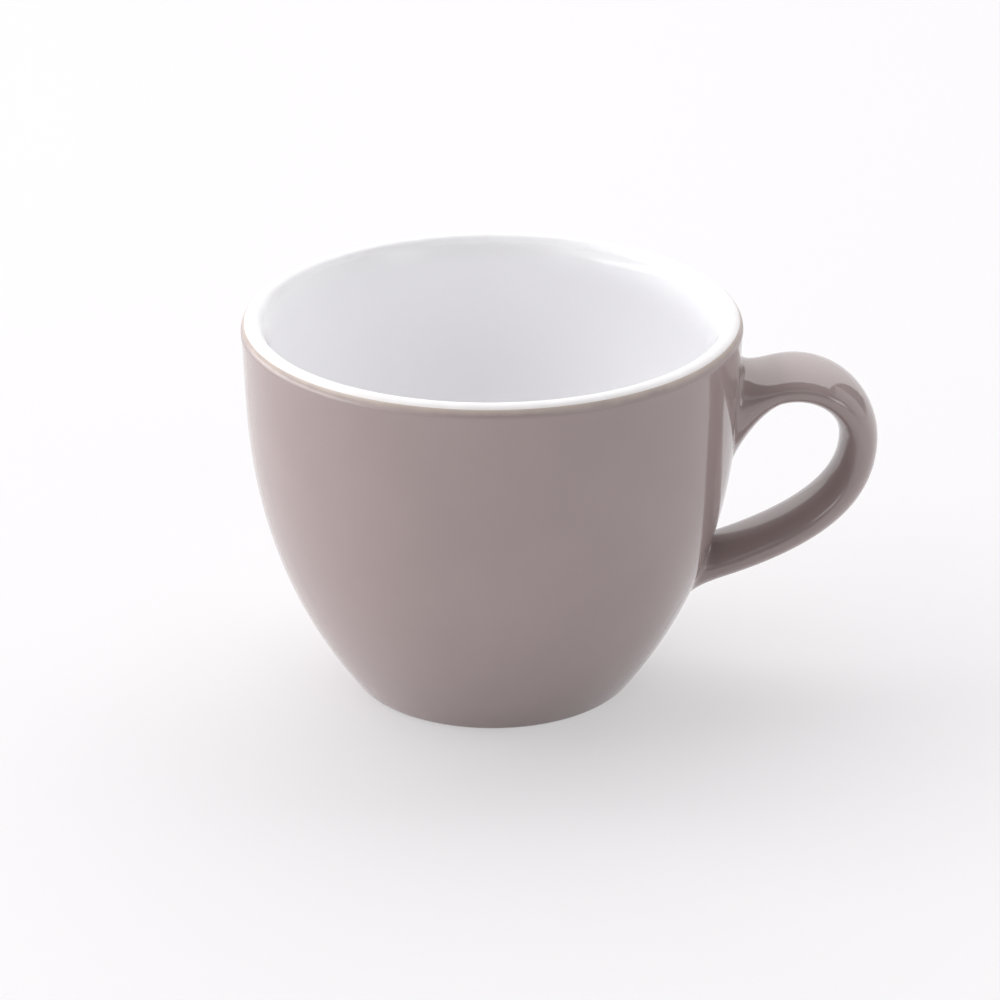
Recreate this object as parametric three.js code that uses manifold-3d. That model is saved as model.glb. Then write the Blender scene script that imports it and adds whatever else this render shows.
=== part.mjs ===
// An espresso cup of glazed porcelain with a loop handle.
// Millimetres, +Z up. The cup's axis is Z, its foot stands on Z = 0 and its handle points along +X.
import * as THREE from 'three';
import { mergeVertices } from 'three/addons/utils/BufferGeometryUtils.js';
import Module from 'manifold-3d';

const { degToRad, lerp, smoothstep } = THREE.MathUtils;

// Bowl, finished sizes over the glaze
const RIM_DIAMETER = 65;
const CUP_HEIGHT = 51;
const LIP_THICKNESS = 3.2;
const LIP_TAPER = 5; // how far below the rim the inside starts to lean out to the lip
const WALL_THICKNESS = 4.2; // where the wall leaves the foot
const FLOOR_THICKNESS = 4.6;
const FLOOR_FILLET = 10; // between the floor and the inside of the wall

// Foot
const FOOT_DIAMETER = 33.7; // outer edge of the ring that stands on the table
const FOOT_EDGE_RADIUS = 2.5;
const FOOT_RING_WIDTH = 2.6;
const FOOT_RECESS_DEPTH = 1.7;

// Outline of the wall: how it leans out at each end, and how far each lean carries into the curve
const FOOT_LEAN = degToRad(36.6);
const RIM_LEAN = degToRad(4.9);
const FOOT_PULL = 25.1;
const RIM_PULL = 8.8;
const TAPER_PULL = 0.55; // share of the taper's width and height that its ends run straight

// Glaze
const GLAZE_THICKNESS = 0.3;
const GLAZE_LINE_ANGLE = degToRad(45.2); // where the white of the lip meets the taupe, up the lip's round
const BARE_FOOT_HEIGHT = 0.45; // clay left bare outside the foot ring
const BARE_COVE_HEIGHT = 0.6; // clay left bare inside it

// Strap of the handle, finished sizes over the glaze
const HANDLE_THICKNESS = 5; // in the plane of the loop
const HANDLE_WIDTH = 10.6; // across that plane
const HANDLE_PROJECTION = 18; // how far the loop stands out past the rim
const BEND_DROP = 17.6; // from the rim down to the outermost point of the loop
const BEND_UPPER_PULL = 5.6;
const BEND_LOWER_PULL = 5.9;

// Necks, where the strap starts to spread towards the wall
const UPPER_NECK_DROP = 9.35; // below the rim
const UPPER_NECK_STAND_OFF = 5.5; // from the wall
const UPPER_NECK_RISE = degToRad(12.5);
const UPPER_NECK_PULL = 5.7;
const UPPER_NECK_WIDTH = 12.9; // narrows to the width of the strap at the bend
const LOWER_NECK_HEIGHT = 17.05; // above the table
const LOWER_NECK_STAND_OFF = 3.4;
const LOWER_NECK_RISE = degToRad(20);
const LOWER_NECK_PULL = 13.9;

// Roots, the footprints of the handle on the wall
const UPPER_ROOT_DROP = 12.3; // from the rim to the middle of the root
const UPPER_ROOT_ABOVE = 6.6; // from its middle to its upper end
const UPPER_ROOT_BELOW = 8.4;
const UPPER_ROOT_WIDTH = 14.5;
const UPPER_ROOT_PULL = 2.6; // how far the line of the strap carries into the root
const LOWER_ROOT_HEIGHT = 15.8; // from the table to the middle of the root
const LOWER_ROOT_ABOVE = 4.5;
const LOWER_ROOT_BELOW = 4.8;
const LOWER_ROOT_WIDTH = 13;
const LOWER_ROOT_PULL = 2;
const ROOT_SPREAD = 1.6; // how far a root runs along the wall before it lifts off
const ROOT_SINK = 0.3; // how far the edge of a root lies under the skin of the wall
const ROOT_TENON = 1.5; // how far the loft of the handle runs on into the wall

// Joints of the handle
const SLIP_THICKNESS = 0.6;
const SEAT_GAP = 0.3; // on each side of the slip

// Facets
const TURN_STEPS = 48;
const WALL_STEPS = 9;
const LIP_STEPS = 3; // on each side of the glaze line
const TAPER_STEPS = 4;
const FILLET_STEPS = 4;
const EDGE_STEPS = 2;
const STRAP_SIDES = 16;
const LOOP_STEPS = 18;
const ROOT_STEPS = 4;

const wasm = await Module();
wasm.setup();

// A skin is a profile in the plane of radius and height, listed with the clay on its left.
// Each of its points is kept with the direction that faces out of the clay.
function skinAlong(curve, steps) {
  return Array.from({ length: steps + 1 }, (_, i) => {
    const tangent = curve.getTangent(i / steps);
    return { point: curve.getPoint(i / steps), normal: new THREE.Vector2(tangent.y, -tangent.x) };
  });
}

function offset(skin, distance) {
  return skin.map(({ point, normal }) => point.clone().addScaledVector(normal, distance));
}

function direction(angle) {
  return new THREE.Vector2(Math.cos(angle), Math.sin(angle));
}

function arc(centre, radius, from, to) {
  return new THREE.EllipseCurve(centre.x, centre.y, radius, radius, from, to, to < from);
}

// The place between 0 and 1 where a rising function reaches its target
function solve(rising, target) {
  const closeEnough = 1e-9;
  let low = 0;
  let high = 1;
  while (high - low > closeEnough) {
    const middle = (low + high) / 2;
    if (rising(middle) < target) low = middle;
    else high = middle;
  }
  return low;
}

// The clay of the wall rises from the round of the foot to the round of the lip.
const rimRadius = RIM_DIAMETER / 2;
const footRadius = FOOT_DIAMETER / 2;
const footCentre = new THREE.Vector2(footRadius, FOOT_EDGE_RADIUS);
const lipRadius = LIP_THICKNESS / 2 - GLAZE_THICKNESS;
const lipCentre = new THREE.Vector2(rimRadius - LIP_THICKNESS / 2, CUP_HEIGHT - LIP_THICKNESS / 2);
const wallFoot = footCentre.clone().addScaledVector(direction(-FOOT_LEAN), FOOT_EDGE_RADIUS);
const wallRim = lipCentre.clone().addScaledVector(direction(-RIM_LEAN), lipRadius);
const wall = new THREE.CubicBezierCurve(
  wallFoot,
  wallFoot.clone().addScaledVector(direction(Math.PI / 2 - FOOT_LEAN), FOOT_PULL),
  wallRim.clone().addScaledVector(direction(Math.PI / 2 - RIM_LEAN), -RIM_PULL),
  wallRim,
);
const wallSkin = skinAlong(wall, WALL_STEPS);

function wallRadius(height) {
  return wall.getPoint(solve((t) => wall.getPoint(t).y, height)).x;
}

// The inside of the wall lies deeper in the clay towards the foot.
function insideWall(t, further = 0) {
  const depth = lerp(WALL_THICKNESS, LIP_THICKNESS, t) - 2 * GLAZE_THICKNESS;
  const tangent = wall.getTangent(t);
  const normal = new THREE.Vector2(-tangent.y, tangent.x);
  return { point: wall.getPoint(t).addScaledVector(normal, depth + further), normal };
}

// The inside of the lip: from its top inwards and down, until it runs along the inside of the wall
const taperFoot = solve((t) => insideWall(t).point.y, CUP_HEIGHT - LIP_TAPER);

function lipTaper() {
  const top = lipCentre.clone().add(new THREE.Vector2(0, lipRadius));
  const { point: foot, normal } = insideWall(taperFoot);
  const upTheWall = new THREE.Vector2(normal.y, -normal.x);
  return new THREE.CubicBezierCurve(
    top,
    top.clone().add(new THREE.Vector2(TAPER_PULL * (foot.x - top.x), 0)),
    foot.clone().addScaledVector(upTheWall, TAPER_PULL * (top.y - foot.y)),
    foot,
  );
}

// Under the floor: the flat of the recess and the glazed part of the cove that leads down to the foot ring
const coveCentre = new THREE.Vector2(footRadius - FOOT_RING_WIDTH - FOOT_RECESS_DEPTH, 0);
const coveLine = Math.asin(BARE_COVE_HEIGHT / FOOT_RECESS_DEPTH);
const undersideSkin = [
  { point: new THREE.Vector2(0, FOOT_RECESS_DEPTH), normal: new THREE.Vector2(0, -1) },
  ...skinAlong(arc(coveCentre, FOOT_RECESS_DEPTH, Math.PI / 2, coveLine), EDGE_STEPS),
];

// The bare foot ring
const footLine = Math.asin(BARE_FOOT_HEIGHT / FOOT_EDGE_RADIUS - 1);
const footSkin = [
  ...skinAlong(arc(coveCentre, FOOT_RECESS_DEPTH, coveLine, 0), EDGE_STEPS),
  ...skinAlong(arc(footCentre, FOOT_EDGE_RADIUS, -Math.PI / 2, footLine), EDGE_STEPS),
];

// The taupe outside, from the foot to the glaze line on the lip
const outsideSkin = [
  ...skinAlong(arc(footCentre, FOOT_EDGE_RADIUS, footLine, -FOOT_LEAN), EDGE_STEPS),
  ...wallSkin.slice(1, -1),
  ...skinAlong(arc(lipCentre, lipRadius, -RIM_LEAN, GLAZE_LINE_ANGLE), LIP_STEPS),
];

// The white inside, from the glaze line over the lip, down the wall and round the fillet to the floor
const floorHeight = FOOT_RECESS_DEPTH + FLOOR_THICKNESS - GLAZE_THICKNESS;
const filletTop = solve((t) => insideWall(t, FLOOR_FILLET).point.y, floorHeight + FLOOR_FILLET);
const filletStart = insideWall(filletTop).normal.clone().negate().angle();
const filletCentre = insideWall(filletTop, FLOOR_FILLET).point;
const insideSkin = [
  ...skinAlong(arc(lipCentre, lipRadius, GLAZE_LINE_ANGLE, Math.PI / 2), LIP_STEPS),
  ...skinAlong(lipTaper(), TAPER_STEPS).slice(1),
  ...Array.from({ length: WALL_STEPS - 1 }, (_, i) =>
    insideWall(lerp(taperFoot, filletTop, (i + 1) / WALL_STEPS))),
  ...skinAlong(arc(filletCentre, FLOOR_FILLET, filletStart, -Math.PI / 2), FILLET_STEPS),
  { point: new THREE.Vector2(0, floorHeight), normal: new THREE.Vector2(0, 1) },
];

// Turns a profile, listed with the solid on its left, about the axis of the cup.
function turned(points) {
  return new THREE.LatheGeometry(points, TURN_STEPS).rotateX(Math.PI / 2);
}

function bowlBody() {
  const skins = [undersideSkin, footSkin.slice(1), outsideSkin.slice(1), insideSkin.slice(1)];
  return turned(skins.flatMap((skin) => offset(skin, 0)));
}

// A coat of glaze over a skin. It closes on the axis where the skin reaches it.
function coat(skin) {
  const outer = offset(skin, GLAZE_THICKNESS);
  const inner = offset(skin, 0).reverse();
  if (skin[0].point.x === 0) return turned([...outer, ...inner]);
  if (skin.at(-1).point.x === 0) return turned([...inner, ...outer]);
  return turned([...outer, ...inner, outer[0]]);
}

// Everything inside the wall, up to a distance outside the clay
function wallCore(distance) {
  const points = offset(wallSkin, distance);
  return turned([new THREE.Vector2(0, points[0].y), ...points, new THREE.Vector2(0, points.at(-1).y)]);
}

// The middle line of the strap, in the plane of radius and height, from the upper neck to the lower one
function strapLine() {
  const upperHeight = CUP_HEIGHT - UPPER_NECK_DROP;
  const upper = new THREE.Vector2(wallRadius(upperHeight) + UPPER_NECK_STAND_OFF, upperHeight);
  const lower = new THREE.Vector2(wallRadius(LOWER_NECK_HEIGHT) + LOWER_NECK_STAND_OFF, LOWER_NECK_HEIGHT);
  const bendRadius = rimRadius + HANDLE_PROJECTION - HANDLE_THICKNESS / 2;
  const bend = new THREE.Vector2(bendRadius, CUP_HEIGHT - BEND_DROP);
  const line = new THREE.CurvePath();
  line.add(new THREE.CubicBezierCurve(
    upper,
    upper.clone().addScaledVector(direction(UPPER_NECK_RISE), UPPER_NECK_PULL),
    bend.clone().add(new THREE.Vector2(0, BEND_UPPER_PULL)),
    bend,
  ));
  line.add(new THREE.CubicBezierCurve(
    bend,
    bend.clone().sub(new THREE.Vector2(0, BEND_LOWER_PULL)),
    lower.clone().addScaledVector(direction(LOWER_NECK_RISE), LOWER_NECK_PULL),
    lower,
  ));
  return line;
}

// A ring of points round the strap. The first lies on the outer side of the loop.
function strapRing(centre, tangent, width, grow) {
  const across = new THREE.Vector2(-tangent.y, tangent.x).multiplyScalar(HANDLE_THICKNESS / 2 + grow);
  return Array.from({ length: STRAP_SIDES }, (_, i) => {
    const turn = direction(2 * Math.PI * i / STRAP_SIDES);
    const flat = centre.clone().addScaledVector(across, turn.x);
    return new THREE.Vector3(flat.x, (width / 2 + grow) * turn.y, flat.y);
  });
}

// A ring of points round a root, at a distance outside the clay of the wall
function rootRing(root, grow, distance) {
  return Array.from({ length: STRAP_SIDES }, (_, i) => {
    const turn = direction(2 * Math.PI * i / STRAP_SIDES);
    const reach = turn.x > 0 ? root.outer : root.inner;
    const height = root.height + root.outerSide * turn.x * (reach + grow);
    const side = turn.y * (root.width / 2 + grow);
    return new THREE.Vector3(Math.sqrt((wallRadius(height) + distance) ** 2 - side ** 2), side, height);
  });
}

// The rings of a root, from its tenon in the wall towards the neck, along curves that leave the wall gently
function rootRings(root, neck, away, grow) {
  const skin = GLAZE_THICKNESS + grow;
  const edge = rootRing(root, grow, skin - ROOT_SINK);
  const lift = rootRing(root, grow - ROOT_SPREAD, skin);
  const curves = neck.map((point, i) => new THREE.CubicBezierCurve3(
    edge[i],
    lift[i],
    point.clone().addScaledVector(away, -root.neckPull),
    point,
  ));
  const rings = Array.from({ length: ROOT_STEPS }, (_, step) =>
    curves.map((curve) => curve.getPoint(step / ROOT_STEPS)));
  return [rootRing(root, grow, -ROOT_TENON), ...rings];
}

const upperRoot = {
  height: CUP_HEIGHT - UPPER_ROOT_DROP,
  outerSide: 1,
  outer: UPPER_ROOT_ABOVE,
  inner: UPPER_ROOT_BELOW,
  width: UPPER_ROOT_WIDTH,
  neckPull: UPPER_ROOT_PULL,
};
const lowerRoot = {
  height: LOWER_ROOT_HEIGHT,
  outerSide: -1,
  outer: LOWER_ROOT_BELOW,
  inner: LOWER_ROOT_ABOVE,
  width: LOWER_ROOT_WIDTH,
  neckPull: LOWER_ROOT_PULL,
};

// The rings of the whole handle, in order from the upper root to the lower one. Grow is measured from the
// finished skin, so the clay has a grow below zero.
function handleRings(grow) {
  const line = strapLine();
  const along = (t) => new THREE.Vector3(line.getTangent(t).x, 0, line.getTangent(t).y);
  const loop = Array.from({ length: LOOP_STEPS + 1 }, (_, i) => {
    const centre = line.getPoint(i / LOOP_STEPS);
    const narrowing = smoothstep(CUP_HEIGHT - centre.y, UPPER_NECK_DROP, BEND_DROP);
    const width = lerp(UPPER_NECK_WIDTH, HANDLE_WIDTH, narrowing);
    return strapRing(centre, line.getTangent(i / LOOP_STEPS), width, grow);
  });
  const upper = rootRings(upperRoot, loop[0], along(0), grow);
  const lower = rootRings(lowerRoot, loop.at(-1), along(1).negate(), grow);
  return { upper, loop, lower: lower.reverse() };
}

// A closed surface over a row of rings, with a fan on each end
function loft(rings) {
  const middle = (ring) =>
    ring.reduce((sum, point) => sum.add(point), new THREE.Vector3()).divideScalar(ring.length);
  const points = [...rings.flat(), middle(rings[0]), middle(rings.at(-1))];
  const first = points.length - 2;
  const last = points.length - 1;
  const index = [];
  for (let side = 0; side < STRAP_SIDES; side++) {
    const next = (side + 1) % STRAP_SIDES;
    for (let start = 0; start < first - STRAP_SIDES; start += STRAP_SIDES) {
      const end = start + STRAP_SIDES;
      index.push(start + side, end + side, start + next);
      index.push(start + next, end + side, end + next);
    }
    index.push(first, side, next);
    index.push(last, first - STRAP_SIDES + next, first - STRAP_SIDES + side);
  }
  return new THREE.BufferGeometry().setFromPoints(points).setIndex(index);
}

// Joins and cuts work on solids.
function solid(geometry) {
  const bare = geometry.clone().deleteAttribute('normal').deleteAttribute('uv');
  const merged = mergeVertices(bare);
  return new wasm.Manifold(new wasm.Mesh({
    numProp: 3,
    vertProperties: merged.getAttribute('position').array,
    triVerts: new Uint32Array(merged.getIndex().array),
  }));
}

function surface(body) {
  const { vertProperties, triVerts } = body.getMesh();
  const geometry = new THREE.BufferGeometry();
  geometry.setAttribute('position', new THREE.BufferAttribute(vertProperties, 3));
  geometry.setIndex(new THREE.BufferAttribute(triVerts, 1));
  geometry.computeVertexNormals();
  return geometry;
}

const clay = handleRings(-GLAZE_THICKNESS);
const clayLoft = solid(loft([...clay.upper, ...clay.loop, ...clay.lower]));
const slipFloor = solid(wallCore(SEAT_GAP));
const slipTop = solid(wallCore(SEAT_GAP + SLIP_THICKNESS));

function handleBody() {
  return surface(clayLoft.subtract(solid(wallCore(2 * SEAT_GAP + SLIP_THICKNESS))));
}

// The slip fills the joint between the wall and one root of the handle.
function slipJoint(rings) {
  return surface(solid(loft(rings)).intersect(slipTop).subtract(slipFloor));
}

// One coat runs over the wall and the handle, and is open under each root.
function outerGlaze() {
  const skin = handleRings(0);
  const handleSkin = solid(loft([...skin.upper, ...skin.loop, ...skin.lower]));
  const overHandle = handleSkin.subtract(solid(wallCore(0)));
  return surface(solid(coat(outsideSkin)).add(overHandle).subtract(clayLoft));
}

const bareClay = { color: 0xe8e2d8, roughness: 0.85 };
const taupeGlaze = { color: 0x93847f, roughness: 0.12 };
const whiteGlaze = { color: 0xeeedef, roughness: 0.1 };

function part(name, geometry, finish) {
  const mesh = new THREE.Mesh(geometry, new THREE.MeshStandardMaterial({ metalness: 0, ...finish }));
  mesh.name = name;
  return mesh;
}

const cup = new THREE.Group();
cup.add(part('bowl_body', bowlBody(), bareClay));
cup.add(part('handle_body', handleBody(), bareClay));
cup.add(part('upper_slip_joint', slipJoint([...clay.upper, ...clay.loop.slice(0, 2)]), bareClay));
cup.add(part('lower_slip_joint', slipJoint([...clay.loop.slice(-2), ...clay.lower]), bareClay));
cup.add(part('outer_glaze', outerGlaze(), taupeGlaze));
cup.add(part('inner_glaze', coat(insideSkin), whiteGlaze));
cup.add(part('foot_glaze', coat(undersideSkin), taupeGlaze));
export default cup;
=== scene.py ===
# Espresso cup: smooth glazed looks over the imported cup. Foot on z = 0, handle towards +x.
from math import asin, cos, pi, radians, sin

import bpy
import numpy as np
from mathutils import Euler, Matrix, Vector


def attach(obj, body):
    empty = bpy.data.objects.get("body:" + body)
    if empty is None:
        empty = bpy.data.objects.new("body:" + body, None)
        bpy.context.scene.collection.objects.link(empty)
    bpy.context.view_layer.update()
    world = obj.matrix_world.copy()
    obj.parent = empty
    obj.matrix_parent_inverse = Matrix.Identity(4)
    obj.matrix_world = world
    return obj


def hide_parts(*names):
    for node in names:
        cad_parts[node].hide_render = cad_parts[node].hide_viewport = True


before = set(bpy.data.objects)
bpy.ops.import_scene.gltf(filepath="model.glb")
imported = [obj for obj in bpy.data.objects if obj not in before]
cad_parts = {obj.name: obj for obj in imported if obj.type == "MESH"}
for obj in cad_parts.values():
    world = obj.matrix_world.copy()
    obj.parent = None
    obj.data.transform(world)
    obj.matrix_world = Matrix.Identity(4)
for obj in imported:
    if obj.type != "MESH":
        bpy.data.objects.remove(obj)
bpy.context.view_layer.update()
scene = bpy.context.scene
mm = 0.001  # shapes and camera are in millimetres, materials and lamps in metres, angles in degrees
print("frame loaded:", ", ".join(sorted(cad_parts)))


def addPiece(name, points, faces):
    mesh = bpy.data.meshes.new(name)
    mesh.from_pydata((points * mm).tolist(), [], faces)
    piece = bpy.data.objects.new(name, mesh)
    scene.collection.objects.link(piece)
    return piece, mesh


# piece of the cup from a grid of points (rows, columns, 3): columns wrap round, rows wrap too or close on
# two poles; fades tell how thin the glaze is in each row, 1 at its edge
def putMesh(name, grid, poles=None, fades=None):
    rows, columns = grid.shape[:2]
    index = np.arange(rows * columns).reshape(rows, columns)
    beside = np.roll(index, -1, axis=1)
    points = grid.reshape(-1, 3)
    if poles is None:
        quads = np.stack([index, beside, np.roll(beside, -1, axis=0), np.roll(index, -1, axis=0)], -1)
        faces = quads.reshape(-1, 4).tolist()
    else:
        quads = np.stack([index[:-1], beside[:-1], beside[1:], index[1:]], -1)
        first = np.full(columns, len(points))
        firstFan = np.stack([first, beside[0], index[0]], -1)
        lastFan = np.stack([index[-1], beside[-1], first + 1], -1)
        faces = quads.reshape(-1, 4).tolist() + firstFan.tolist() + lastFan.tolist()
        points = np.concatenate([points, np.asarray(poles)])
    piece, mesh = addPiece(name, points, faces)
    if fades is not None:
        values = np.repeat(fades, columns)
        values = np.concatenate([values, np.zeros(len(points) - len(values))])
        layer = mesh.attributes.new("thinGlaze", "FLOAT", "POINT")
        layer.data.foreach_set("value", values)
    mesh.polygons.foreach_set("use_smooth", np.ones(len(mesh.polygons), bool))
    mesh.update()
    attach(piece, "root")
    print("piece", name, len(mesh.polygons), "faces")
    return piece


# profiles lie in the plane of radius and height with the clay on their left; a skin is a profile's points
# and its ways out of the clay
def heading(angle):
    return np.stack([np.cos(angle), np.sin(angle)], -1)


def rightOf(ways):  # a quarter turn to the right
    return np.stack([ways[..., 1], -ways[..., 0]], -1)


# circle arc: centre plus radius times heading, facing away from the centre when it turns left
def arc(centre, radius, start, end, steps):
    ways = heading(np.linspace(start, end, steps + 1))
    return np.asarray(centre) + radius * ways, ways * np.sign(end - start)


# cubic curve: the four corners weighted by the Bernstein terms; its slope comes with it
def cubic(corners, t):
    t = np.asarray(t, float)[..., None]
    a, b, c, d = [np.asarray(corner, float) for corner in corners]
    points = (1 - t) ** 3 * a + 3 * t * (1 - t) ** 2 * b + 3 * t**2 * (1 - t) * c + t**3 * d
    slopes = 3 * (1 - t) ** 2 * (b - a) + 6 * t * (1 - t) * (c - b) + 3 * t**2 * (d - c)
    return points, slopes / np.linalg.norm(slopes, axis=-1, keepdims=True)


bowl = {
    "rimDiameter": 64.98,  # just under the part's 65, to stay inside the box of its flat facets
    "height": 51.0, "lipThickness": 3.2, "lipTaper": 5.0, "taperPull": 0.55, "wallThickness": 4.2,
    "floorThickness": 4.6, "floorFillet": 10.0,
    "footDiameter": 33.7, "footEdge": 2.5, "footRing": 2.6, "recess": 1.7,
    "footLean": 36.6, "rimLean": 4.9, "footPull": 25.1, "rimPull": 8.8,
    "glaze": 0.3, "glazeLine": 45.2, "bareFoot": 0.45, "bareCove": 0.6,
    "recessHub": 0.15, "floorHub": 0.1,  # innermost ring of a flat, as a share of its radius
    "turnSteps": 224, "wallSteps": 72, "lipSteps": 16, "edgeSteps": 12, "footSteps": 6, "bareSteps": 4,
    "filletSteps": 24, "flatSteps": 8, "endSteps": 6, "backStride": 4, "fineSteps": 4000,
}
glaze = bowl["glaze"]
rimRadius = bowl["rimDiameter"] / 2
footRadius = bowl["footDiameter"] / 2
footCentre = np.array([footRadius, bowl["footEdge"]])
lipRadius = bowl["lipThickness"] / 2 - glaze
lipCentre = np.array([rimRadius, bowl["height"]]) - bowl["lipThickness"] / 2
footLean, rimLean = radians(bowl["footLean"]), radians(bowl["rimLean"])
glazeLine = radians(bowl["glazeLine"])  # where taupe and white meet on the round of the lip
wallFoot = footCentre + bowl["footEdge"] * heading(-footLean)
wallRim = lipCentre + lipRadius * heading(-rimLean)
wallCorners = [
    wallFoot,
    wallFoot + bowl["footPull"] * heading(pi / 2 - footLean),
    wallRim - bowl["rimPull"] * heading(pi / 2 - rimLean),
    wallRim,
]


def wallAt(t):  # clay of the wall and its way out: the slope turned right
    points, slopes = cubic(wallCorners, t)
    return points, rightOf(slopes)


def insideAt(t, further=0.0):  # inner face: the wall moved in by its thickness, thinner towards the lip
    t = np.asarray(t, float)
    points, ways = wallAt(t)
    depth = bowl["wallThickness"] + t * (bowl["lipThickness"] - bowl["wallThickness"]) - 2 * glaze
    return points - ways * (depth + further)[..., None], -ways


fineT = np.linspace(0, 1, bowl["fineSteps"] + 1)
finePoints, fineWays = wallAt(fineT)


def wallRadius(height):
    return np.interp(height, finePoints[:, 1], finePoints[:, 0])


def joinSkins(*skins):  # skins end to end, each shared point once
    points = np.concatenate([skins[0][0]] + [s[0][1:] for s in skins[1:]])
    ways = np.concatenate([skins[0][1]] + [s[1][1:] for s in skins[1:]])
    return points, ways


# flat part: rings from one share of the radius to another, all facing up (1) or down (-1)
def flatRings(radius, height, start, end, facing):
    points = np.linspace(start, end, bowl["flatSteps"])[:, None] * [radius, 0] + [0, height]
    return points, np.tile([0.0, facing], (bowl["flatSteps"], 1))


# under the foot: flat recess, cove, bare ring, round of the foot
coveCentre = np.array([footRadius - bowl["footRing"] - bowl["recess"], 0.0])
coveLine = asin(bowl["bareCove"] / bowl["recess"])
footLine = asin(bowl["bareFoot"] / bowl["footEdge"] - 1)
recessSkin = joinSkins(
    flatRings(coveCentre[0], bowl["recess"], bowl["recessHub"], 1, -1.0),
    arc(coveCentre, bowl["recess"], pi / 2, coveLine, bowl["edgeSteps"]),
)
ringFlat = np.array([[coveCentre[0] + bowl["recess"], 0], [footRadius, 0]])
ringSkin = joinSkins(
    arc(coveCentre, bowl["recess"], coveLine, 0, bowl["bareSteps"]),
    (ringFlat, np.tile([0.0, -1.0], (2, 1))),
    arc(footCentre, bowl["footEdge"], -pi / 2, footLine, bowl["edgeSteps"]),
)
outsideSkin = joinSkins(
    arc(footCentre, bowl["footEdge"], footLine, -footLean, bowl["footSteps"]),
    wallAt(np.linspace(0, 1, bowl["wallSteps"] + 1)),
    arc(lipCentre, lipRadius, -rimLean, glazeLine, bowl["lipSteps"]),
)

# inside: over the lip, down the wall, round the fillet and across the floor
floorHeight = bowl["recess"] + bowl["floorThickness"] - glaze
ballHeights = insideAt(fineT, bowl["floorFillet"])[0][:, 1]
filletTop = np.interp(floorHeight + bowl["floorFillet"], ballHeights, fineT)
filletCentre, filletWay = insideAt(filletTop, bowl["floorFillet"])
filletStart = np.arctan2(-filletWay[1], -filletWay[0])
taperFoot = np.interp(bowl["height"] - bowl["lipTaper"], insideAt(fineT)[0][:, 1], fineT)


# inside of the lip: a cubic curve from its top inwards and down, until it runs along the inner face
def lipTaper(t):
    top = lipCentre + [0, lipRadius]
    foot, way = insideAt(taperFoot)
    inwards = [bowl["taperPull"] * (foot[0] - top[0]), 0]
    upTheWall = bowl["taperPull"] * (top[1] - foot[1]) * rightOf(way)
    points, slopes = cubic([top, top + inwards, foot + upTheWall, foot], t)
    return points, rightOf(slopes)


insideSkin = joinSkins(
    arc(lipCentre, lipRadius, glazeLine, pi / 2, bowl["lipSteps"]),
    lipTaper(np.linspace(0, 1, bowl["lipSteps"] + 1)),
    insideAt(np.linspace(taperFoot, filletTop, bowl["wallSteps"] + 1)),
    arc(filletCentre, bowl["floorFillet"], filletStart, -pi / 2, bowl["filletSteps"]),
    flatRings(filletCentre[0], floorHeight, 1, bowl["floorHub"], 1.0),
)


# profile turned about the axis: radius times the circle, at its height
def turned(profile):
    around = np.linspace(0, 2 * pi, bowl["turnSteps"], endpoint=False)
    x = profile[:, :1] * np.cos(around)
    y = profile[:, :1] * np.sin(around)
    return np.stack([x, y, np.broadcast_to(profile[:, 1:], x.shape)], -1)


# half round that ends a coat of glaze: from its face over to the clay, about the middle of its thickness
def coatEnd(point, way, along):
    swing = np.linspace(0, pi, bowl["endSteps"] + 1)[1:-1, None]
    return point + glaze / 2 * (way + way * np.cos(swing) + along * np.sin(swing))


# thin glaze near an edge: 1 there, falling in a straight line to 0 at the given reach
def edgeFade(profile, fromStart, reach):
    lengths = np.concatenate([[0], np.cumsum(np.linalg.norm(np.diff(profile, axis=0), axis=1))])
    distance = lengths if fromStart else lengths[-1] - lengths
    return np.clip(1 - distance / reach, 0, 1)


# the white's wide reach spreads its darker thin colour over the top of the lip, partly as painted shade
edges = {"lipReach": 2.0, "whiteReach": 6.0, "footReach": 0.6}


# ring of glaze with two edges: out along its face, over the lip end, back on the clay, over the foot end
def ringCoat(name, skin):
    points, ways = skin
    face = points + glaze * ways
    lipEnd = coatEnd(points[-1], ways[-1], -rightOf(ways[-1]))
    footEnd = coatEnd(points[0], ways[0], rightOf(ways[0]))[::-1]
    back = points[::-1][::bowl["backStride"]]
    thin = np.maximum(edgeFade(face, False, edges["lipReach"]), edgeFade(face, True, edges["footReach"]))
    fades = np.concatenate([thin, np.ones(len(lipEnd)), np.zeros(len(back)), np.ones(len(footEnd))])
    return putMesh(name, turned(np.concatenate([face, lipEnd, back, footEnd])), fades=fades)


# dish of glaze with one edge: the skin starts at its edge and ends near the axis
def dishCoat(name, skin, reach, turnOver=False):
    points, ways = skin
    face = points + glaze * ways
    along = rightOf(ways[0])
    end = coatEnd(points[0], ways[0], -along if turnOver else along)
    back = points[::bowl["backStride"]]
    fades = np.concatenate([np.zeros(len(back)), np.ones(len(end)), edgeFade(face, True, reach)])
    rows = np.concatenate([back[::-1], end[::-1], face])
    poles = [[0, 0, back[-1][1]], [0, 0, face[-1][1]]]
    if turnOver:
        rows, fades, poles = rows[::-1], fades[::-1], poles[::-1]
    return putMesh(name, turned(rows), poles, fades)


outerCoat = ringCoat("outerCoat", outsideSkin)
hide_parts("outer_glaze")
innerCoat = dishCoat("innerCoat", insideSkin, edges["whiteReach"])
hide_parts("inner_glaze")
recessCoat = dishCoat("recessCoat", (recessSkin[0][::-1], recessSkin[1][::-1]), edges["footReach"], True)
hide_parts("foot_glaze")

claySkin = joinSkins(recessSkin, ringSkin, outsideSkin, insideSkin)[0]
clayBowl = putMesh("clayBowl", turned(claySkin), [[0, 0, claySkin[0][1]], [0, 0, claySkin[-1][1]]])
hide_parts("bowl_body")


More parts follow.
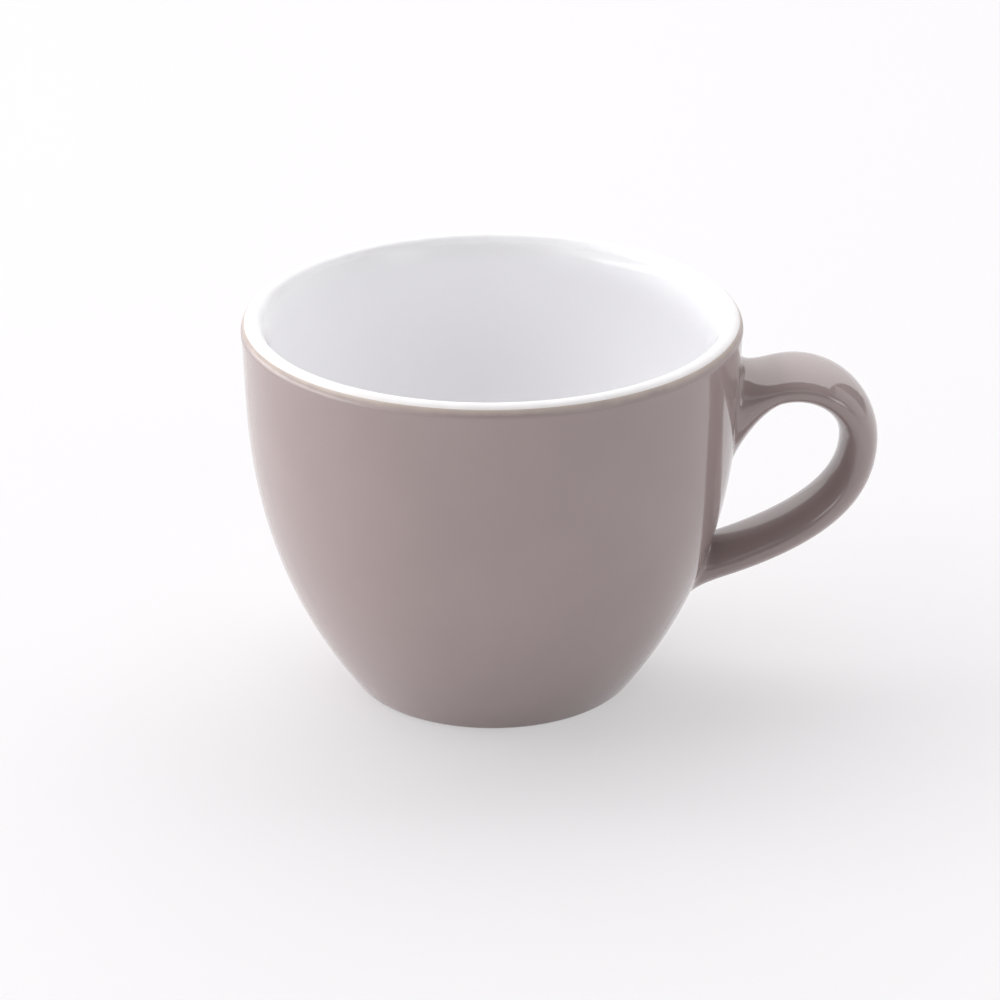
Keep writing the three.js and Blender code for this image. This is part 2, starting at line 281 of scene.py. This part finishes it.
handle = {
    "thickness": 5.0, "width": 10.6, "upperNeckWidth": 12.9, "projection": 18.0,
    "bendDrop": 17.6, "bendUpperPull": 5.6, "bendLowerPull": 5.9,
    "upperNeckDrop": 9.35, "upperNeckStandOff": 5.5, "upperNeckRise": 12.5, "upperNeckPull": 5.7,
    "lowerNeckHeight": 17.05, "lowerNeckStandOff": 3.4, "lowerNeckRise": 20.0, "lowerNeckPull": 13.9,
    "upperRootDrop": 12.3, "spread": 1.6, "tenon": 1.2,
    "rootSink": 0.012,  # depth of a root's edge under the face of the wall
    "sides": 112, "loopSteps": 110, "rootSteps": 30,
}
upperRoot = {
    "height": bowl["height"] - handle["upperRootDrop"], "outer": 6.6, "inner": 8.4, "outerSide": 1,
    "width": 14.5, "pull": 2.6,
}
lowerRoot = {"height": 15.8, "outer": 4.8, "inner": 4.5, "outerSide": -1, "width": 13.0, "pull": 2.0}
ringTurn = np.linspace(0, 2 * pi, handle["sides"], endpoint=False)


# middle line of the strap: two cubic curves that meet at the outermost point of the loop
def strapLine(t):
    upperHeight = bowl["height"] - handle["upperNeckDrop"]
    lowerHeight = handle["lowerNeckHeight"]
    bendHeight = bowl["height"] - handle["bendDrop"]
    upper = np.array([wallRadius(upperHeight) + handle["upperNeckStandOff"], upperHeight])
    lower = np.array([wallRadius(lowerHeight) + handle["lowerNeckStandOff"], lowerHeight])
    bend = np.array([rimRadius + handle["projection"] - handle["thickness"] / 2, bendHeight])
    upperOut = handle["upperNeckPull"] * heading(radians(handle["upperNeckRise"]))
    lowerOut = handle["lowerNeckPull"] * heading(radians(handle["lowerNeckRise"]))
    first = cubic([upper, upper + upperOut, bend + [0, handle["bendUpperPull"]], bend], t)
    second = cubic([bend, bend - [0, handle["bendLowerPull"]], lower + lowerOut, lower], t)
    return joinSkins(first, second)


# rings of the strap: centre plus half the thickness across the line and half the width along y; the width
# narrows in a smooth step from the upper neck down to the bend
def strapRings(centres, slopes):
    across = -rightOf(slopes) * handle["thickness"] / 2
    flat = centres[:, None] + across[:, None] * np.cos(ringTurn)[None, :, None]
    drop = bowl["height"] - centres[:, 1:] - handle["upperNeckDrop"]
    way = np.clip(drop / (handle["bendDrop"] - handle["upperNeckDrop"]), 0, 1)
    width = handle["upperNeckWidth"] + (handle["width"] - handle["upperNeckWidth"]) * way**2 * (3 - 2 * way)
    side = width / 2 * np.sin(ringTurn)
    return np.stack([flat[..., 0], side, flat[..., 1]], -1)


# ring on the wall: two half ellipses in height and side, wrapped on the round of the wall
def rootRing(root, grow, depth):
    reach = np.where(np.cos(ringTurn) > 0, root["outer"], root["inner"]) + grow
    height = root["height"] + root["outerSide"] * np.cos(ringTurn) * reach
    side = np.sin(ringTurn) * (root["width"] / 2 + grow)
    radius = wallRadius(height) + glaze - depth
    return np.stack([np.sqrt(radius**2 - side**2), side, height], -1)


# way out of the wall at points on it
def wallWays(points):
    ways = np.stack([np.interp(points[:, 2], finePoints[:, 1], fineWays[:, k]) for k in (0, 1)], -1)
    flat = points[:, :2] / np.linalg.norm(points[:, :2], axis=1, keepdims=True)
    return np.concatenate([flat * ways[:, :1], ways[:, 1:]], axis=1)


# root: cubic curves that leave the wall along it and reach the neck along the strap; the first pull is the
# way to a smaller ring, without its part out of the wall
def rootRings(root, neck, away):
    edge = rootRing(root, 0, handle["rootSink"])
    inwards = rootRing(root, -handle["spread"], 0) - edge
    ways = wallWays(edge)
    lift = edge + inwards - ways * np.sum(inwards * ways, axis=1, keepdims=True)
    corners = [edge, lift, neck - away * root["pull"], neck]
    t = np.linspace(0, 1, handle["rootSteps"] + 1)[:-1, None]
    rings = cubic([corner[None] for corner in corners], np.broadcast_to(t, (len(t), len(neck))))[0]
    return np.concatenate([rootRing(root, 0, handle["tenon"])[None], rings])


lineCentres, lineSlopes = strapLine(np.linspace(0, 1, handle["loopSteps"] // 2 + 1))
loopRings = strapRings(lineCentres, lineSlopes)
upperAway = np.array([lineSlopes[0][0], 0, lineSlopes[0][1]])
lowerAway = -np.array([lineSlopes[-1][0], 0, lineSlopes[-1][1]])
upperRings = rootRings(upperRoot, loopRings[0], upperAway)
lowerRings = rootRings(lowerRoot, loopRings[-1], lowerAway)
handleRings = np.concatenate([upperRings, loopRings, lowerRings[::-1]])[::-1]
handleEnds = [handleRings[0].mean(axis=0), handleRings[-1].mean(axis=0)]
glazedHandle = putMesh("glazedHandle", handleRings, handleEnds)
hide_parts("outer_glaze", "handle_body", "upper_slip_joint", "lower_slip_joint")


# node helpers
def addNode(tree, kind, **settings):
    node = tree.nodes.new(kind)
    for key, value in settings.items():
        setattr(node, key, value)
    return node


def wire(tree, source, target):
    tree.links.new(source, target)


def feed(tree, value, socket):  # a wire from another node, or a plain number or colour
    if hasattr(value, "is_linked"):
        wire(tree, value, socket)
    elif isinstance(value, tuple):
        socket.default_value = (*value, 1.0)
    else:
        socket.default_value = value


def noise(tree, vector, scale, detail, roughness=0.5):
    node = addNode(tree, "ShaderNodeTexNoise")
    settings = {"Vector": vector, "Scale": scale, "Detail": detail, "Roughness": roughness}
    for key, value in settings.items():
        feed(tree, value, node.inputs[key])
    return node.outputs["Fac"]


def remap(tree, value, low, high, newLow, newHigh, curve="LINEAR"):
    node = addNode(tree, "ShaderNodeMapRange", clamp=True, interpolation_type=curve)
    settings = {"Value": value, "From Min": low, "From Max": high, "To Min": newLow, "To Max": newHigh}
    for key, number in settings.items():
        feed(tree, number, node.inputs[key])
    return node.outputs["Result"]


def mathNode(tree, operation, first, second):
    node = addNode(tree, "ShaderNodeMath", operation=operation)
    feed(tree, first, node.inputs[0])
    feed(tree, second, node.inputs[1])
    return node.outputs["Value"]


def mixColour(tree, factor, first, second):
    node = addNode(tree, "ShaderNodeMix", data_type="RGBA")
    wire(tree, factor, node.inputs["Factor"])
    feed(tree, first, node.inputs[6])  # 6 and 7 are the colours A and B, and output 2 the mixed colour
    feed(tree, second, node.inputs[7])
    return node.outputs[2]


# noises are given as scale and detail, ranges as low and high
glazeSkin = {
    "cloudDetail": 3.0, "cloudRange": (0.32, 0.68), "cloudShare": 0.75,
    "grain": (1400.0, 2.0), "grainShare": 0.25,
    "ragged": (420.0, 2.0), "raggedShare": 0.3, "thinRange": (0.72, 1.2), "dullFrom": 0.8,
    "sheen": (260.0, 3.0), "sheenRange": (0.3, 0.7),
    "peel": (170.0, 2.0), "peelShare": 0.5, "swell": (38.0, 1.0),
    "pitScale": 95.0, "pitSize": 0.018, "pitDepth": 0.5,
}
glazeColours = ("body", "cloud", "thin")  # inputs of the group, called as in each glaze's settings
glazeNumbers = ("cloudScale", "thinAmount", "glossLow", "glossHigh", "thinDull")


# skin shared by both glazes: soft clouds of colour, orange peel, pinholes and a thin, duller edge, whose
# colour on the white lip is partly painted shade
def makeGlazeGroup():
    group = bpy.data.node_groups.new("glazeSkin", "ShaderNodeTree")
    face = group.interface
    for name in glazeColours:
        face.new_socket(name, in_out="INPUT", socket_type="NodeSocketColor")
    for name in glazeNumbers:
        face.new_socket(name, in_out="INPUT", socket_type="NodeSocketFloat")
    face.new_socket("Color", in_out="OUTPUT", socket_type="NodeSocketColor")
    for name in ("Roughness", "Height"):
        face.new_socket(name, in_out="OUTPUT", socket_type="NodeSocketFloat")
    given = addNode(group, "NodeGroupInput").outputs
    put = addNode(group, "NodeGroupOutput").inputs
    place = addNode(group, "ShaderNodeTexCoord").outputs["Object"]

    def times(first, second):
        return mathNode(group, "MULTIPLY", first, second)

    def plus(first, second):
        return mathNode(group, "ADD", first, second)

    cloudNoise = noise(group, place, given["cloudScale"], glazeSkin["cloudDetail"])
    clouds = remap(group, cloudNoise, *glazeSkin["cloudRange"], 0.0, 1.0)
    grain = noise(group, place, *glazeSkin["grain"])
    blend = plus(times(clouds, glazeSkin["cloudShare"]), times(grain, glazeSkin["grainShare"]))
    base = mixColour(group, blend, given["body"], given["cloud"])
    thin = addNode(group, "ShaderNodeAttribute", attribute_name="thinGlaze").outputs["Fac"]
    ragged = plus(thin, times(noise(group, place, *glazeSkin["ragged"]), glazeSkin["raggedShare"]))
    thinEdge = times(remap(group, ragged, *glazeSkin["thinRange"], 0.0, 1.0), given["thinAmount"])
    # thin colour: on the taupe a lighter break of the glaze; on the white a darker lip, partly real break
    # and partly painted shade
    wire(group, mixColour(group, thinEdge, base, given["thin"]), put["Color"])
    sheen = noise(group, place, *glazeSkin["sheen"])
    gloss = remap(group, sheen, *glazeSkin["sheenRange"], given["glossLow"], given["glossHigh"])
    dull = times(remap(group, thin, 0.0, glazeSkin["dullFrom"], 0.0, 1.0, "SMOOTHSTEP"), given["thinDull"])
    wire(group, plus(gloss, dull), put["Roughness"])
    peel = noise(group, place, *glazeSkin["peel"])
    swell = noise(group, place, *glazeSkin["swell"])
    pits = addNode(group, "ShaderNodeTexVoronoi", feature="F1")
    pits.inputs["Scale"].default_value = glazeSkin["pitScale"]
    wire(group, place, pits.inputs["Vector"])
    pinholes = remap(group, pits.outputs["Distance"], 0.0, glazeSkin["pitSize"], 1.0, 0.0)
    waves = plus(times(peel, glazeSkin["peelShare"]), swell)
    wire(group, mathNode(group, "SUBTRACT", waves, times(pinholes, glazeSkin["pitDepth"])), put["Height"])
    return group


glazeGroup = makeGlazeGroup()


def newMaterial(name):
    material = bpy.data.materials.new(name)
    material.use_nodes = True
    tree = material.node_tree
    tree.nodes.clear()
    shader = addNode(tree, "ShaderNodeBsdfPrincipled")
    wire(tree, shader.outputs["BSDF"], addNode(tree, "ShaderNodeOutputMaterial").inputs["Surface"])
    return material, tree, shader


def addBump(tree, shader, height, distance):
    bump = addNode(tree, "ShaderNodeBump")
    bump.inputs["Distance"].default_value = distance
    wire(tree, height, bump.inputs["Height"])
    wire(tree, bump.outputs["Normal"], shader.inputs["Normal"])


taupe = {
    "body": (0.322, 0.257, 0.251), "cloud": (0.345, 0.277, 0.270), "thin": (0.60, 0.51, 0.45),
    "cloudScale": 70.0, "thinAmount": 0.85, "glossLow": 0.05, "glossHigh": 0.09, "thinDull": 0.3,
    "peelHeight": 0.00002, "ior": 1.58,
}
# the white's thin colour darkens the lip: partly the real break of the glaze at its line, partly painted
# shade holding down the brightly lit lip
white = {
    "body": (0.930, 0.923, 0.943), "cloud": (0.943, 0.936, 0.954), "thin": (0.77, 0.74, 0.735),
    "cloudScale": 60.0, "thinAmount": 0.9, "glossLow": 0.04, "glossHigh": 0.08, "thinDull": 0.3,
    "peelHeight": 0.00002, "ior": 1.5,
}


# glossy glaze: the shared skin feeds colour, roughness and a shallow bump under a hard clear surface
def glazeMaterial(name, looks):
    material, tree, shader = newMaterial(name)
    skin = addNode(tree, "ShaderNodeGroup", node_tree=glazeGroup)
    for key in glazeColours + glazeNumbers:
        feed(tree, looks[key], skin.inputs[key])
    wire(tree, skin.outputs["Color"], shader.inputs["Base Color"])
    wire(tree, skin.outputs["Roughness"], shader.inputs["Roughness"])
    addBump(tree, shader, skin.outputs["Height"], looks["peelHeight"])
    shader.inputs["IOR"].default_value = looks["ior"]
    return material


# noises are given as scale, detail and roughness
bisque = {
    "body": (0.78, 0.73, 0.66), "grain": (0.70, 0.65, 0.58), "rubbed": (0.55, 0.53, 0.51),
    "sand": (2600.0, 3.0, 0.7), "sandRange": (0.35, 0.65), "grainHeight": 0.00004,
    "patches": (240.0, 4.0, 0.65), "patchRange": (0.45, 0.7), "patchAmount": 0.8, "rubHeight": 0.00025,
    "roughFrom": (0.3, 0.7), "roughTo": (0.7, 0.9),
}


# bare fired clay: sandy grain, greyer where the ring has rubbed on tables
def clayMaterial(name, looks):
    material, tree, shader = newMaterial(name)
    place = addNode(tree, "ShaderNodeTexCoord").outputs["Object"]
    sand = noise(tree, place, *looks["sand"])
    grain = remap(tree, sand, *looks["sandRange"], 0.0, 1.0)
    colour = mixColour(tree, grain, looks["body"], looks["grain"])
    height = addNode(tree, "ShaderNodeSeparateXYZ")
    wire(tree, place, height.inputs["Vector"])
    low = remap(tree, height.outputs["Z"], 0.0, looks["rubHeight"], 1.0, 0.0)
    patches = noise(tree, place, *looks["patches"])
    patches = remap(tree, patches, *looks["patchRange"], 0.0, looks["patchAmount"])
    colour = mixColour(tree, mathNode(tree, "MULTIPLY", low, patches), colour, looks["rubbed"])
    wire(tree, colour, shader.inputs["Base Color"])
    wire(tree, remap(tree, sand, *looks["roughFrom"], *looks["roughTo"]), shader.inputs["Roughness"])
    addBump(tree, shader, sand, looks["grainHeight"])
    return material


taupeGlaze = glazeMaterial("taupeGlaze", taupe)
whiteGlaze = glazeMaterial("whiteGlaze", white)
bareClay = clayMaterial("bareClay", bisque)
for piece, material in (
    (outerCoat, taupeGlaze), (glazedHandle, taupeGlaze), (recessCoat, taupeGlaze),
    (innerCoat, whiteGlaze), (clayBowl, bareClay),
):
    piece.data.materials.append(material)
print("materials set")


table = {
    "hub": 20.0, "reach": 4000.0, "rings": 24, "turnSteps": 96,
    # the far colour is the near one darkened as painted shade
    "near": (0.93, 0.915, 0.925), "far": (0.80, 0.788, 0.806), "paintedShadeRange": (-0.15, 0.35),
    "roughness": 0.7, "specular": 0.2,
    "lift": 0.52, "lifted": (0.868, 0.853, 0.868),
}


# pale table: a wide disc of rings about the cup, its colour greyer towards the back as painted shade
# against the stronger light of the back panels there; the eye and the glaze see it lifted towards white,
# shadow and all
def makeTable():
    rings = np.geomspace(table["hub"], table["reach"], table["rings"])[:, None]
    around = np.linspace(0, 2 * pi, table["turnSteps"], endpoint=False)
    x = rings * np.cos(around)
    y = rings * np.sin(around)
    points = np.stack([x, y, np.zeros_like(x)], -1).reshape(-1, 3)
    index = np.arange(len(points)).reshape(x.shape)
    beside = np.roll(index, -1, axis=1)
    quads = np.stack([index[:-1], index[1:], beside[1:], beside[:-1]], -1).reshape(-1, 4).tolist()
    piece, mesh = addPiece("tableTop", points, quads + [index[0].tolist()])
    mesh.update()
    material, tree, shader = newMaterial("paleTable")
    place = addNode(tree, "ShaderNodeTexCoord").outputs["Object"]
    parts = addNode(tree, "ShaderNodeSeparateXYZ")
    wire(tree, place, parts.inputs["Vector"])
    # painted shade: the colour darkens from near to far, holding down the back panels' light on the far
    # part
    back = remap(tree, parts.outputs["Y"], *table["paintedShadeRange"], 0.0, 1.0)
    wire(tree, mixColour(tree, back, table["near"], table["far"]), shader.inputs["Base Color"])
    shader.inputs["Roughness"].default_value = table["roughness"]
    shader.inputs["Specular IOR Level"].default_value = table["specular"]
    glow = addNode(tree, "ShaderNodeEmission")
    feed(tree, table["lifted"], glow.inputs["Color"])
    rays = addNode(tree, "ShaderNodeLightPath").outputs
    mirrored = mathNode(tree, "MAXIMUM", rays["Is Glossy Ray"], rays["Is Transmission Ray"])
    seen = mathNode(tree, "MAXIMUM", rays["Is Camera Ray"], mirrored)
    both = addNode(tree, "ShaderNodeMixShader")
    wire(tree, mathNode(tree, "MULTIPLY", seen, table["lift"]), both.inputs["Fac"])
    wire(tree, shader.outputs["BSDF"], both.inputs[1])
    wire(tree, glow.outputs["Emission"], both.inputs[2])
    out = [node for node in tree.nodes if node.type == "OUTPUT_MATERIAL"][0]
    wire(tree, both.outputs["Shader"], out.inputs["Surface"])
    mesh.materials.append(material)


makeTable()

lamps = {
    "leftLowBox": {"at": (-1.15, 0.05, 0.1), "size": (1.8, 0.2), "power": 9.3},
    "leftHighBox": {"at": (-0.8, 0.05, 0.75), "size": (0.9, 0.5), "power": 4.8},
    "rightBox": {"at": (1.05, 0.1, 0.45), "size": (1.0, 0.9), "power": 2.6},
    "frontBox": {"at": (0.0, -0.95, 0.8), "size": (1.2, 0.35), "power": 0.9},
    "frontRightBox": {"at": (0.8, -0.8, 0.35), "size": (0.5, 0.4), "power": 1.8},
    "frontLeftBox": {"at": (-0.8, -0.8, 0.35), "size": (0.5, 0.4), "power": 1.2},
}
lampAim = (0.0, 0.0, 0.03)
arch = {
    "radius": 1.135, "width": 1.8, "low": -3.0, "high": 83.0, "panels": 8,
    "lowLevel": 0.9, "highLevel": 2.62,
}


# arch of light from behind to above: panels edge to edge on a circle about the cup, each brighter than the
# one below; a panel's power is its level times pi times its area
def archPanels():
    half = radians(arch["high"] - arch["low"]) / arch["panels"] / 2
    tall = 2 * arch["radius"] * sin(half)
    for k in range(arch["panels"]):
        share = k / (arch["panels"] - 1)
        level = arch["lowLevel"] + share * (arch["highLevel"] - arch["lowLevel"])
        y, z = arch["radius"] * cos(half) * heading(radians(arch["low"]) + (2 * k + 1) * half)
        lamps[f"archPanel{k}"] = {
            "at": (0.0, y, lampAim[2] + z), "size": (arch["width"], tall),
            "power": level * pi * arch["width"] * tall,
        }


archPanels()
for name, setting in lamps.items():
    light = bpy.data.lights.new(name, "AREA")
    light.shape = "RECTANGLE"
    light.size, light.size_y = setting["size"]
    light.energy = setting["power"]
    lamp = bpy.data.objects.new(name, light)
    scene.collection.objects.link(lamp)
    lamp.location = setting["at"]
    lamp.rotation_euler = (Vector(lampAim) - Vector(setting["at"])).to_track_quat("-Z", "Y").to_euler()

room = {"colour": (1.0, 1.0, 1.0), "level": 0.14}


# room: weak even light from all round, so that no side of the glaze is black
def makeRoom():
    world = bpy.data.worlds.new("whiteRoom")
    scene.world = world
    world.use_nodes = True
    tree = world.node_tree
    tree.nodes.clear()
    back = addNode(tree, "ShaderNodeBackground")
    feed(tree, room["colour"], back.inputs["Color"])
    feed(tree, room["level"], back.inputs["Strength"])
    wire(tree, back.outputs["Background"], addNode(tree, "ShaderNodeOutputWorld").inputs["Surface"])


makeRoom()
print("table, lamps and room set")

view = {
    "distance": 480.0, "aim": 26.0, "elevation": 23.541, "roll": -0.32,
    "sensor": 36.0, "lens": 130.828, "shiftX": 0.00712, "shiftY": -0.009878, "near": 10.0, "far": 50000.0,
}
lens = bpy.data.cameras.new("photoCamera")
lens.sensor_width = view["sensor"]
lens.lens = view["lens"]
lens.shift_x = view["shiftX"]
lens.shift_y = view["shiftY"]
lens.clip_start = view["near"] * mm
lens.clip_end = view["far"] * mm
camera = bpy.data.objects.new("photoCamera", lens)
scene.collection.objects.link(camera)
tilt = radians(view["elevation"])
camera.location = (0, -view["distance"] * mm * cos(tilt), (view["aim"] + view["distance"] * sin(tilt)) * mm)
upright = Euler((pi / 2 - tilt, 0, 0)).to_matrix()
camera.rotation_euler = (upright @ Matrix.Rotation(radians(view["roll"]), 3, "Z")).to_euler()
scene.camera = camera
scene.view_settings.view_transform = "Standard"
print("camera set")
